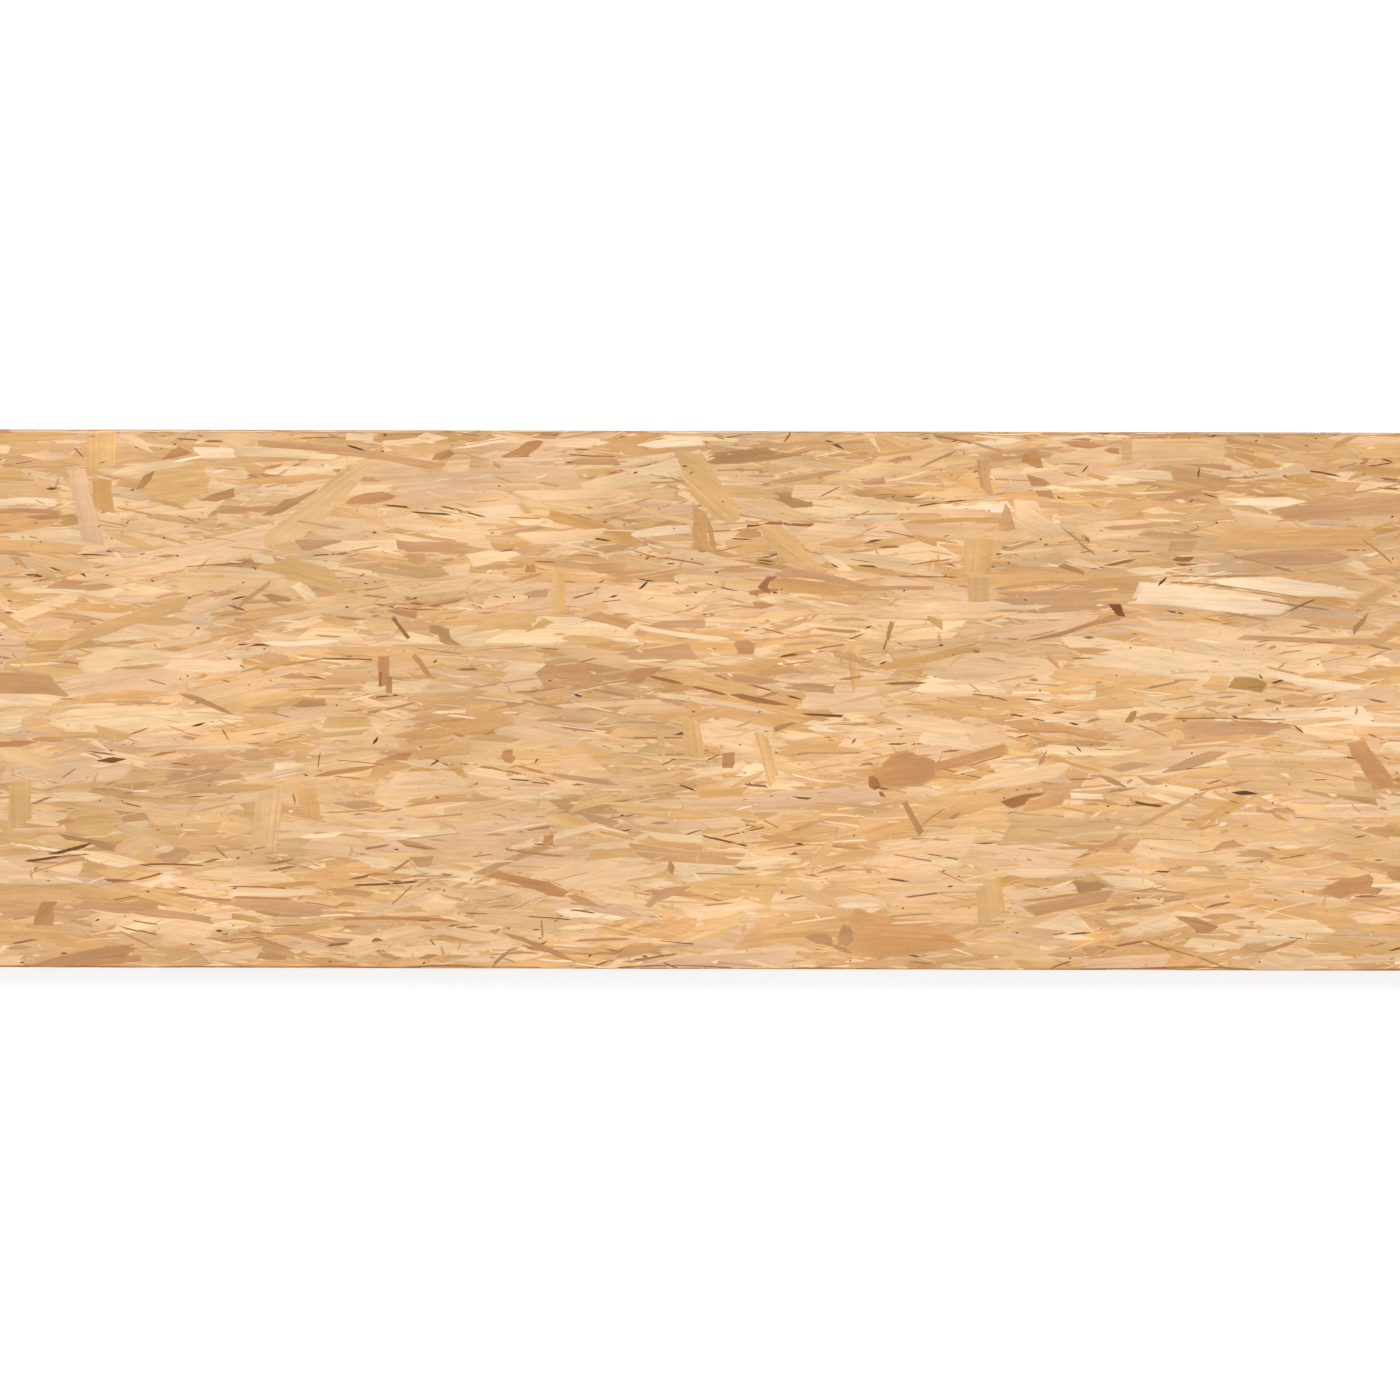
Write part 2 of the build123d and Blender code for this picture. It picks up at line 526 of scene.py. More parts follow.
# Broad strands that the photograph shows, in millimetres of the panel, the lowest first:
# tone, one end, the other end, width and, unless both ends are pointed, the two cuts.
FIELDS = """
amber -356 160 -356 136 19 ss, pink -371 137 -361 92 15 sl, ochre -356 131 -355 112 14 sl, orange -418 155
-368 157 7 sp, pale -405 145 -372 144 6, cream -352 133 -300 141 7, -348 156 -328 150 6 pl, white -303 146
-276 146 8 ps, -421 116 -382 116 5 ss, mauve -421 111 -380 110 3.5 ss, russet -401 108 -380 108 4 ps, -298
117 -276 123 7 ps, pink -349 60 -324 60 7 ll, sand -398 79 -383 73 8 pl, cream -280 147 -212 144 8 sp,
orange -275 128 -213 133 6, dun -263 152 -153 138 6 sl, cream -211 156 -194 155 5 ss, mauve -182 92 -137 92
7 sp, pale -154 76 -137 77 9 ps, -153 138 -137 139 9 ls, amber -262 84 -206 68 15, pale -112 96 -54 99 8,
-112 121 -50 123 8, white -39 150 2 154 7 ps, amber -84 77 -84 52 9 ss, dun -77 142 -49 142 5 ll, mauve -106
62 -90 63 6 ps, pale -139 73 -112 72 5 sp, 54 124 85 124 9 ss, 56 102 100 99 9, dun 58 64 141 67 3.5 ps, 39
129 85 137 3.5, mauve 96 129 110 131 5 ps, ochre 126 99 141 94 5 ps, tan 70 93 101 94 6, dun 168 144 170 124
9 sl, pale 206 145 249 144 9 ls, straw 250 149 312 149 18 ss, sand 250 149 257 149 18 ss, cream 243 135 281
134 7 ps, amber 166 97 164 76 19 ss, sand 165 74 166 58 15 ss, cream 253 77 281 77 6, 262 114 281 113 6,
mauve 258 100 300 98 5, pale 371 157 421 155 6 ps, amber 391 147 412 147 6 sl, orange 297 97 401 98 15 pl,
mauve 278 92 294 92 8 sl, tan -384 30 -302 58 9, dun -421 10 -372 6 15 sp, -392 51 -357 47 5, cream -322 20
-272 20 8 ps, sand -349 20 -318 20 5, white -421 -2 -394 -3 3.5 sp, cream -421 -14 -403 -14 9 sl, -384 -8
-306 -7 6 ps, orange -381 -22 -350 -22 5 sp, amber -362 -18 -338 -25 9, russet -421 -28 -392 -26 5 sp, honey
-398 -24 -378 -24 4 ps, pale -312 -29 -262 -28 6, fawn -310 4 -276 -10 4, cream -254 -40 -232 -39 6 sp,
white -262 33 -213 34 3.5, mauve -251 14 -232 13 5 pl, -230 38 -212 37 2.5, amber -224 -14 -196 -13 8 ll,
straw -198 42 -179 43 11 ll, amber -222 30 -186 29 6 pl, white -160 -8 -138 -7 3 ps, orange -158 -31 -136
-29 9 ls, russet -231 -46 -190 -40 4, -184 -34 -172 -34 6 ll, amber -131 46 -98 46 14 ll, dun -70 52 -40 44
8 pl, cream -95 49 -67 48 5, mauve -31 46 3 46 6 ps, white -39 44 18 36 4, cream -119 20 -91 18 9, -21 22 2
22 5 pl, amber -25 16 2 15 6 ps, -84 37 -50 36 6, dun -100 30 -78 26 4, straw -50 -4 -5 -4 8, dun -99 -12
-62 -13 2.5, amber -6 -11 -3 -35 14 ll, mauve -92 -44 -48 -50 3.5, 18 14 48 11 6 sp, 50 8 81 6 6 ps, amber
-6 12 34 5 8, orange 45 -28 100 -31 7, white 63 -16 84 -17 5 pl, cream 74 -16 112 -20 5, amber 36 -19 44 -48
9 ll, 17 -52 40 -42 4, russet 65 43 97 41 2.5, dun 36 36 82 39 2, ochre 134 50 144 45 5 pl, pink 168 39 238
48 8, cream 183 50 225 50 5 ps, 155 28 186 27 4, ochre 222 30 240 29 7 ll, clay 206 27 214 20 4 ll, pale 106
-12 168 -21 14, 150 -51 226 -38 11, russet 138 -40 183 -28 8 ss, white 187 -36 202 -35 3, clay 184 -16 226
-18 4, dun 258 -9 280 -8 7, ochre 204 -32 241 -42 3, fawn 236 -44 254 -51 4, dun 259 -45 276 -50 4, pink 276
35 298 36 9 sp, amber 301 12 314 10 12 ll, mauve 317 38 412 36 4 ll, cream 353 -31 386 -32 6, 402 -27 421
-26 8 ps, amber -404 -48 -404 -76 19 ll, straw -347 -94 -322 -80 13, white -385 -106 -365 -109 3, mauve -345
-126 -288 -132 5 ps, russet -372 -158 -330 -154 5 ps, cream -326 -91 -314 -88 5 pl, white -310 -78 -296 -78
2, straw -255 -52 -259 -89 21 ll, orange -234 -52 -231 -71 16 ll, cream -280 -116 -222 -114 5 sp, white -239
-82 -211 -80 3.5, -207 -78 -177 -78 2.5, russet -181 -84 -155 -90 3.5, dun -170 -97 -159 -96 7 ll, honey
-215 -122 -204 -122 4 ls, clay -219 -114 -194 -116 5 ll, russet -221 -131 -139 -132 2.5, pale -279 -107 -238
-106 8 sp, dun -259 -112 -226 -109 4, ochre -279 -129 -258 -132 5 sp, orange -39 -84 2 -88 4 ps, cream -36
-79 2 -83 6 ps, white -34 -111 -18 -108 5 pl, cream -86 -136 -56 -134 4, amber -80 -64 -48 -56 9, cream -120
-59 -80 -58 4, dun -50 -150 -22 -146 8, -80 -116 -59 -122 5, ochre -1 -56 27 -54 6 sl, pink -1 -74 26 -72 8
pl, amber 66 -99 80 -84 7 ll, white 82 -122 108 -122 4, ochre 65 -60 110 -64 2, clay 193 -63 218 -57 9 ll,
mauve 192 -126 250 -114 8, white 208 -112 221 -108 3.5 pl, cream 176 -102 222 -102 6, amber 171 -108 174
-131 21 ll, pink 152 -94 190 -96 6, white 220 -56 240 -57 4 ss, cream 216 -68 229 -68 5 ss, dun 208 -88 249
-86 3, mauve 207 -150 230 -151 3.5 ps, clay 245 -134 262 -132 4, cream 325 -132 380 -134 9, white 333 -140
352 -140 2.5, amber 386 -90 402 -89 9 ll, 386 -134 421 -136 8, mauve 276 -118 289 -116 4 sl, cream 358 -152
390 -152 4, orange 277 -155 293 -156 6 sl, cream 290 -100 303 -100 4 ll, mauve 307 -86 322 -84 5 ll, dun 322
-90 338 -90 5 ll
"""

# Strands whose shape is their own: tone and the corners of the outline.
PATCHES = """
cream -370 19 -367 26 -360 29 -345 30 -320 29 -300 27 -300 24 -330 25 -345 23 -350 17 -358 14 -366 14, ochre
-5 118 4 111 5 89 -5 89, amber -16 148 1 148 9 136 17 122 26 113 24 107 18 104 6 110 -4 120 -10 130, 34 104
50 103 60 92 70 82 76 76 66 77 56 80 46 84 40 92, straw -212 139 -192 141 -205 126 -222 108 -238 94 -262 88
-262 97 -246 108 -228 124, russet -321 142 -310 151 -302 146 -312 143, amber -336 124 -332 131 -325 136 -310
137 -296 136 -290 130 -294 122 -308 114 -318 118 -330 120, fawn -336 124 -331 133 -324 136 -326 130 -331
124, russet -160 142 -158 146 -149 149 -146 146 -151 143, fawn -261 109 -252 115 -247 119 -240 120 -226 126
-228 123 -240 116 -250 110 -257 108, russet -213 116 -209 120 -200 123 -188 124 -180 121 -183 118 -196 115
-210 115, mauve -242 95 -238 88 -232 88 -212 94 -214 95, dun -174 87 -164 87 -162 83 -168 80 -174 82, cream
-244 67 -238 70 -232 66 -226 58 -234 57, fawn -262 62 -255 63 -243 60 -243 58 -255 58, russet -120 144 -109
149 -103 154 -96 155 -92 154 -94 151 -100 147 -102 144, cream -48 137 -40 138 -32 139 -26 135 -32 133 -42
135, white -43 98 -37 101 -20 104 -5 104 -5 99 -25 97 -40 96, dun -70 81 -50 82 -44 82 -45 76 -60 74 -65 77,
russet -105 75 -104 80 -98 81 -97 75, cream -140 86 -125 89 -110 88 -106 86 -120 82 -135 78, fawn 42 124 54
124 54 119 60 118 67 118 67 115 55 114 48 118 46 122, dun 20 97 24 101 28 103 36 100 37 97 30 96, mauve 43
75 50 80 60 78 75 76 101 68 96 66 80 70 60 73 48 73, ochre 40 72 48 73 60 72 80 70 98 66 75 64 49 63 45 66
40 66, brown 34 67 37 71 40 74 46 74 41 71 40 67 42 63 37 64, cream 72 86 77 82 82 76 92 77 84 83 76 87, dun
181 118 184 115 188 101 182 99 176 100 179 110, russet 190 142 192 148 199 150 201 149 204 138 198 139, fawn
193 135 205 132 209 129 205 127 196 127, 199 125 209 126 211 120 200 121, russet 213 154 222 155 232 154 242
152 232 150 222 151, pale 186 120 200 119 204 110 214 104 205 96 192 99 187 108, fawn 192 35 215 41 232 47
244 51 251 53 253 49 232 44 214 38, umber 242 58 250 58 253 50 248 50 245 54, fawn 212 80 216 82 222 80 229
77 229 74 220 77, cream 215 84 225 85 236 81 240 78 232 79 222 81, white 254 58 258 64 261 71 275 70 300 68
325 65 349 61 353 55 345 51 320 51 300 54 275 57, mauve 336 114 345 116 370 118 395 122 421 124 421 111 400
110 370 108 345 108, white 308 121 325 121 350 122 362 119 336 113 322 118, mauve 317 86 330 89 355 91 370
92 380 90 389 86 375 81 350 80 335 81, cream 383 82 390 85 393 84 399 78 392 77, brown 280 84 283 86 294 86
291 83 284 83, white 300 72 320 74 345 74 380 68 396 64 380 62 350 62 320 66, fawn -162 45 -157 45 -149 42
-148 36 -141 32 -144 31 -151 32 -155 34 -156 38 -161 40, russet -44 10 -44 14 -44 17 -39 19 -36 20 -21 20
-26 16 -31 14 -34 11 -35 10, -119 -34 -117 -30 -114 -29 -111 -29 -111 -33 -109 -34 -110 -37 -112 -39 -116
-38, olive -39 -32 -31 -26 -24 -25 -25 -28 -28 -32, russet 100 -50 100 -47 102 -44 106 -42 106 -40 109 -37
114 -32 123 -29 130 -32 141 -35 142 -45 132 -51 120 -52 108 -51, brown 100 -45 103 -44 106 -46 108 -51 104
-54 100 -52, dun 79 28 90 29 94 26 106 20 98 20 90 23 80 26, russet 20 34 21 36 28 36 33 34 32 27 22 27 22
30 20 32, fawn 13 -31 21 -30 21 -38 20 -41 13 -41, moss 252 -13 256 -6 260 -5 260 -9 257 -13, white 341 18
347 18 360 14 374 13 387 11 395 10 395 7 385 6 369 7 356 10 342 13, moss 313 8 315 12 317 15 326 15 331 14
336 12 338 10 334 5 327 6 318 7, mauve 286 -12 290 -11 329 -11 351 -13 353 -15 340 -19 319 -20 300 -22 288
-22, russet 384 -24 395 -22 399 -28 405 -35 412 -45 413 -51 404 -54 400 -54 396 -45 391 -36 387 -32, amber
-376 -67 -349 -65 -342 -70 -349 -80 -355 -83 -378 -80 -379 -72, fawn -382 -80 -375 -81 -364 -83 -349 -85
-345 -88 -348 -91 -355 -90 -364 -85 -377 -84, mauve -324 -94 -314 -90 -312 -87 -305 -88 -301 -91 -304 -95
-311 -98 -318 -97, dun -371 -122 -366 -119 -352 -121 -320 -124 -322 -126 -345 -127 -360 -125, fawn -391 -120
-381 -120 -382 -122 -384 -123 -383 -130 -384 -136 -396 -135 -395 -126, -401 -160 -388 -155 -368 -150 -351
-147 -341 -146 -332 -148 -338 -150 -340 -154 -354 -155 -367 -156 -374 -160, mauve -278 -118 -260 -118 -247
-118 -232 -121 -214 -124 -224 -125 -224 -130 -246 -130 -264 -127 -278 -123, cream -209 -94 -198 -93 -187 -94
-182 -97 -184 -101 -191 -102 -197 -98 -202 -96, russet -130 -105 -120 -101 -110 -104 -88 -108 -75 -115 -80
-118 -88 -117 -103 -112 -117 -107, honey -93 -80 -86 -80 -87 -85 -92 -89 -94 -88, mauve -34 -123 -30 -118
-21 -111 -12 -110 -4 -110 -8 -112 -14 -115 -24 -119 -30 -124, clay 86 -134 88 -127 94 -123 102 -127 112 -128
113 -132 128 -134 139 -133 148 -136 153 -141 160 -146 150 -148 139 -149 122 -152 103 -153 91 -151 84 -148 80
-143, fawn 82 -141 84 -134 86 -132 90 -134 92 -138 92 -144 88 -148 82 -146, 62 -141 67 -138 76 -138 79 -141
80 -147 70 -145, brown 178 -60 186 -57 193 -55 206 -54 203 -56 195 -58 193 -62 186 -64 183 -63, fawn 221
-107 231 -109 237 -106 241 -108 243 -110 237 -113 225 -114 224 -112, 281 -127 288 -127 296 -128 305 -132 310
-134 300 -139 296 -138 292 -134 286 -130, russet 366 -114 376 -108 380 -105 392 -103 399 -101 402 -104 400
-110 408 -112 404 -116 390 -114 381 -118, fawn 408 -100 421 -99 421 -108 412 -106 409 -104
"""

# Slivers on top of them, written as the broad strands are.
SLIVERS = """
cream -128 142.5 -79 143.5 2, -85 86.5 -71 88 3.5, -20 92.5 -6 92.5 4.5 ls, 35 60.5 51 58.5 5, 158 57.5 211
56.5 3.5, 112 -132.5 140 -131 2.5 pl, white -252 47 -235 45.5 2, clay 157 -38 173 -40 5 ps, honey -383 -74
-370 -73 4.5, ochre -329 119 -308 114.5 4 pl, 230 135 242 131.5 4 ll, 374 150 389 158.5 4 pl, dun -243 106.5
-210 101 2, -190 56 -169 56.5 3, -135 78.5 -104 79.5 3.5 ps, -114 69 -92 75.5 3, 84 142.5 141 151.5 3 ps,
110 142 126 144.5 3.5 ps, 4 108.5 8 89 3.5 pl, 160 154 187 145 2.5, 222 123 263 121.5 3.5, 172 67 240 68.5
2.5, 238 102.5 281 105.5 3.5 ps, 366 122 421 130.5 1.5 ps, -278 47 -258 48 3 sp, -171 -14.5 -138 -11 2 ps,
48 32.5 76 34.5 3, -412 -148.5 -396 -148 4, mauve -293 61.5 -276 64 3 ps, -273 57 -255 69.5 3.5 ll, -119 98
-92 103 3.5, -66 89 -42 91 4 pl, 200 158.5 229 158 3, -372 -3 -312 -3.5 2, 139 -156.5 172 -152.5 2.5 sp, 392
-118 413 -116.5 3.5, russet -324 84.5 -310 85 3, -262 137 -248 139 3.5, 240 149.5 249 148.5 4 ps, 277 74.5
336 75 1.2, -328 -34.5 -311 -31.5 3, -188 26.5 -188 7 8 ss, -186 53.5 -168 50 5 ps, -112 -38.5 -90 -44 3, 82
12.5 98 14.5 2.5, 57 -31 98 -31 1.5, 188 -17.5 224 -18.5 1.2, 318 -12.5 356 -14 3, -200 -105 -183 -104.5 3,
-171 -70.5 -139 -68 2 ps, -47 -156 -26 -153.5 2, 0 -122.5 22 -120.5 2.5, 330 -150.5 357 -141.5 3.5, fawn 2
141 63 146.5 3.5 pl, 129 138 153 149 2.5, 214 103.5 225 95 2 pl, 224 95 236 86.5 2, 306 132 341 135 1.2, 315
86.5 341 80.5 1.2, 340 80.5 353 77 2.5, 392 98 413 81.5 2, 277 70.5 360 61 1.2, 330 61 377 54 2, -185 14
-185 3.5 4.5 ss, -170 28 -161 13.5 3.5 pl, -240 -2.5 -222 -2 5 ls, -218 49 -198 47 2.5, -247 5 -209 6.5 1.2,
-198 -8.5 -189 -6 3 pl, -189 -7 -169 -2 2, -85 -16 -60 -19 2.5, 34 1.5 48 5 2.5, 201 -38.5 206 -32 3.5 pl,
259 -13.5 279 -21.5 1.5, 328 31.5 338 35 2, 307 2 320 3 2, 388 42 396 50 4 ll, 359 -40.5 392 -47.5 1.5, 297
49.5 311 47.5 2.5, -290 -86 -280 -95 2.5, -346 -137.5 -323 -149 1.5, -313 -115.5 -277 -120 2.5 ps, -278 -118
-240 -119.5 2 sp, -265 -126.5 -247 -129.5 3, -184 -103.5 -172 -95 2.5 pl, -224 -67.5 -187 -65.5 1.5, -165
-154.5 -158 -151.5 4 ll, -94 -131 -93 -141.5 2 ll, -118 -139 -100 -143 3.5, -108 -142 -73 -156.5 4, -110
-146.5 -123 -157.5 3.5 pl, -18 -95 -16 -104 5, -55 -70.5 -38 -68 2, 76 -145 91 -150 3.5, 121 -59.5 132 -79.5
4.5 ss, 69 -103 88 -97.5 3, 141 -100.5 159 -108.5 1.4, 190 -119 224 -115 1.5, 240 -124 274 -121.5 3.5, 255
-113.5 278 -110 1.2, moss 114 47 111 36.5 3.5 sl, 94 -38.5 103 -37.5 3 pl, 195 13 202 12 3, 411 -46 421 -47
4 ps, 397 34 412 31 2, -154 -104 -147 -104.5 3 ll, -242 -56 -240 -62 2.5 ll, -184 -123 -170 -110 1.5, -185
-108 -176 -108.5 2.5 ll, 112 -128.5 140 -126.5 1.2, 131 -74.5 146 -63.5 1.2, 263 -142 280 -148 2 ps, 225
-92.5 232 -91 3 ll, 352 -68.5 376 -70.5 1, 277 -146.5 296 -152 1.5 sp, 295 -151.5 312 -158 1.5, 404 -132.5
421 -133 1.2 ps, brown -201 62 -185 60 1.2, -80 145.5 -49 144.5 1.2, -82 141 -74 141 2, -119 144 -100 144.5
1, -76 148.5 -65 148.5 1.4, -99 82 -85 81.5 1.5, -116 108.5 -94 107.5 1.2, -134 117.5 -118 119 0.8, 49 152.5
54 159.5 2 pl, 70 120.5 84 127.5 1.4, 88 84 102 82 1, 116 74 154 73 1.2, 122 80 150 84 1, 106 91 120 91.5 2,
138 157.5 161 153.5 1.2, 215 135.5 226 133 1.5, 252 89 269 89 1, 349 53.5 367 61.5 2.5, -382 0 -370 -0.5
1.2, -364 -31.5 -346 -33.5 2, -285 -16.5 -280 -25 1.2 pl, -380 -48 -370 -41 1.2, -316 -38 -302 -39.5 1.5,
-190 17 -190 7 3 ss, -226 -32 -227 -41 1.5 ll, -235 13.5 -222 12 2.5, -268 -21.5 -256 -19.5 1.2, -170 30.5
-139 26.5 1, -32 14.5 -9 9 3, -6 8.5 18 2.5 2.5, -96 -46 -85 -49 1, -72 22 -60 25 1.5, 17 4 54 -3 3.5, 8 15
18 11.5 1.2, 28 9.5 43 5.5 1.4, 111 37 109 30 2 ls, 220 25.5 235 25.5 1.4, 227 37.5 235 38 3, 160 4 184 0
1.2, 235 -29 247 -28.5 1, 218 -46.5 235 -46 1.5, 158 -39 181 -32.5 1.4, 365 35.5 377 35 1.2, 330 35 341 36.5
1.2, 356 45 369 43 1.4, 364 -5.5 374 -4 1.2, 279 -10.5 352 -11 1, 364 -46.5 374 -46.5 1.4, -382 -94 -361
-92.5 1.2, -297 -97.5 -284 -95.5 2, -344 -61.5 -331 -64.5 1.5, -306 -58.5 -294 -58 1.4, -349 -120 -332 -117
1.2, -338 -132 -321 -134.5 1.2, -345 -135.5 -333 -138.5 1.5, -335 -137.5 -322 -140.5 1.2, -236 -120.5 -213
-124.5 1, -256 -98.5 -240 -95 2, -209 -107.5 -196 -105 2.5 pl, -177 -86.5 -160 -89 1.5, -256 -135 -238
-134.5 1, -40 -154.5 -12 -150.5 1.5, -9 -80.5 2 -77 1.2, -140 -127 -125 -127.5 1.2, 106 -54 110 -58 3.5, 389
-116 404 -115.5 2.5, 343 -93.5 361 -90.5 1.2, 400 -94.5 407 -94 2, umber 101 -51 113 -53 1.5, -373 149.5
-366 142.5 1.2, -390 124.5 -382 124.5 3 pl, -396 118.5 -389 115 0.8, -190 115.5 -173 114 2 pl, -174 111.5
-147 110 2, -21 81 -14 81 1.4, -59 58 -46 59.5 0.8, 27 103.5 35 104 2 ll, 18 96 31 95.5 1.4, 32 83.5 44 82.5
1.5, 77 81.5 83 78 2, 236 159 244 159 1.2, 226 135 231 141 2, 244 88.5 250 90 1.5, 146 82 153 79 1.2, 302
156.5 309 159.5 1.5 ps, 296 133 296 138 2 ll, 404 144.5 412 142.5 1.5, 396 140 412 142.5 1.2, 298 123.5 308
121 1.2, -359 -37.5 -340 -36.5 4.5, -300 42.5 -297 41.5 2 ss, -159 22 -156 23 2.5 ll, -161 -40 -155 -36 2
ps, -114 -47 -100 -48 1.5, -101 -49 -88 -50.5 1, 3 -36.5 12 -32 1.2, 219 -13 226 -14.5 2, 223 -26.5 227 -30
2 pl, 332 16 334 13 2 ll, 397 9.5 404 12.5 1.2, 315 -8.5 321 -10 2, 352 -13.5 359 -18.5 1.5 pl, -402 -97
-378 -93.5 2.5, -388 -93.5 -362 -87 3 pl, -104 -129 -75 -131 1.2, -100 -137 -94 -136.5 1.2, -47 -78 -40 -77
1.2, 54 -57 66 -58.5 2 pl, 209 -139 218 -138 1.2, 388 -81 397 -79 1.5, bark -211 151 -198 147 2, -212 55
-208 54.5 2, -38 72 -26 70.5 1.2, -30 71 -36 65.5 2 pl, -55 60.5 -48 62.5 2, 272 69 277 73 2.5 ll, -303
-16.5 -293 -14 2.5, -195 -27.5 -191 -23 3 pl, -76 3.5 -69 2 2.5, 316 -55 332 -54.5 3.5, 57 -85 62 -85.5 2
ll, umber -226 24 -193 23.5 1.2, brown -183 49 -173 36 3.2 ss, fawn -171 27 -161 14 3.2 ss
"""

# Specks: tone, place, length and width.
SPECKS = """
moss -47 156 4.5 2, 118 -17 5 2, 258 40 4.5 1.5, 313 -66 5 2, brown -362 156 5 1, -332 86 4.5 1.5, -411 58
3.5 1.5, -358 102 3 1.5, -272 69 3 1.5, -120 127 3 1.5, -124 99 3 1.5, -6 135 4 1.5, -16 102 2.5 1.5, -57
106 3 2, -14 70 3 2, -8 56 3 1.5, 146 98 4 1.5, 177 87 4 1.5, 347 134 3 2.5, 394 135 3 1.5, -4 -7 3 1.5, 59
-32 3 1.5, 35 -7 2.5 2, 344 -26 4.5 1, -302 -146 4 1.5, -282 -140 4 1, -70 -114 2 2, 34 -111 3 1.5, 332 -137
3 1.5, umber -356 140 4.5 1, -338 124 3 1.5, -311 85 2.5 2, -367 74 4.5 2, -353 73 3.5 1.5, -326 70 2 1.5,
-304 60 3 1.5, -188 157 3 2.5, -210 159 5 1, -194 99 3.5 2, -170 60 4 1, -39 135 3.5 2, -10 139 3.5 2, -32
84 2.5 1.5, -3 64 3 1.5, -111 61 2 2, 13 118 2 1.5, 202 96 2 2, 183 82 2.5 1.5, 193 60 3.5 1.5, 411 110 2 2,
-46 -28 2.5 1, 124 -9 4.5 1, 45 -31 3.5 1, 143 33 3.5 2, 202 6 1.5 2, 367 22 2 1.5, -403 -157 3.5 1, -220
-156 3 1.5, -164 -157 2.5 2, 220 -153 2.5 1.5, 342 -118 2 2, 44 64 4 1.5, 48 66 2.5 1.5
"""


# Meshes

RIM_BLEND = 0.55  # how far a strand's rim goes towards the colour of the ground
RIM_PARTS = (9, 4.5)  # along and across, a rim is one part in so many of the strand,
RIM_LEAST = (1.6, 1.0)  # between these two limits in rim widths
RIM_MOST = (9.0, 3.6)
LEAST_TOP = 0.55  # share of a strand that its rim leaves flat
SIDE_SHADE = 0.8  # painted shade on a strand's sides, as a share of its rim's tone: partly the darker wood of a cut side, partly the shade in the gaps between strands
CUT_STEP = 0.005  # distance between the planes of neighbouring cut ends
CUT_STEPS = 23
LEAST_AREA = 0.05  # smallest strand that is built, in square millimetres


def new_object(name, data):
    made = bpy.data.objects.new(name, data)
    bpy.context.scene.collection.objects.link(made)
    return made


class Shell:
    """Closed strands gathered for one mesh."""

    def __init__(self):
        self.points, self.faces, self.tones, self.grains = [], [], [], []
        self.count = 0

    def ring(self, face, points, level, tone, shade, strand):
        """One ring of corners, whose numbers it returns."""
        self.points.append(place(face, points, level) * MM)
        self.grains.append(points @ rotation(-strand.angle) * MM + np.array(strand.grain))
        self.tones.append(np.column_stack([np.outer(shade, tone), np.ones(len(points))]))
        first = self.count
        self.count += len(points)
        return list(range(first, self.count))

    def band(self, upper, lower):
        for a, b, c, d in zip(upper, upper[1:] + upper[:1], lower[1:] + lower[:1], lower):
            self.faces.append((d, c, b, a))

    def strand(self, face, strand, level, root, rim):
        """One closed strand: its top, its sloping rim and its sides down to the root, which carry painted
        shade.
        """
        points = strand.points
        turn = rotation(-strand.angle)
        middle = (points.min(0) + points.max(0)) / 2
        own = (points - middle) @ turn
        extent = np.maximum(own.max(0) - own.min(0), 1e-6)
        rim_drop, rim_width = rim
        sloping = rim_width * np.clip(extent / RIM_PARTS, RIM_LEAST, RIM_MOST)
        shrink = np.maximum(1 - 2 * sloping / extent, LEAST_TOP)
        inner = (own * shrink) @ turn.T + middle
        soft = tuple(v * (1 - RIM_BLEND) + g * RIM_BLEND for v, g in zip(strand.tone, GROUND))
        # A strand's sides are darkened: painted shade in the gaps between strands, together with the darker
        # wood of a cut side.
        shaded_sides = tuple(v * SIDE_SHADE for v in soft)
        shade = 1 + (own * 2 / extent) @ strand.slope
        inner_shade = 1 + (own * shrink * 2 / extent) @ strand.slope
        top = self.ring(face, inner, level, strand.tone, inner_shade, strand)
        upper = top
        if strand.rim:
            upper = self.ring(face, points, level - rim_drop, soft, shade, strand)
            self.band(top, upper)
        foot = self.ring(face, points, root, shaded_sides, shade, strand)
        self.band(upper, foot)
        self.faces.append(tuple(top))
        self.faces.append(tuple(reversed(foot)))

    def piece(self, name, material):
        mesh = bpy.data.meshes.new(name)
        mesh.from_pydata(np.concatenate(self.points).tolist(), [], self.faces)
        tones = mesh.attributes.new("tone", "FLOAT_COLOR", "POINT")
        tones.data.foreach_set("color", np.concatenate(self.tones).astype(np.float32).ravel())
        corners = np.empty(len(mesh.loops), np.int32)
        mesh.loops.foreach_get("vertex_index", corners)
        grain = mesh.uv_layers.new(name="grain")
        flat = np.concatenate(self.grains).astype(np.float32)[corners]
        grain.data.foreach_set("uv", flat.ravel())
        mesh.materials.append(material)
        mesh.validate()
        piece = new_object(name, mesh)
        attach(piece, BODY)


def signed_area(points):
    x, y = points[:, 0], points[:, 1]
    return 0.5 * float(np.dot(x, np.roll(y, -1)) - np.dot(y, np.roll(x, -1)))


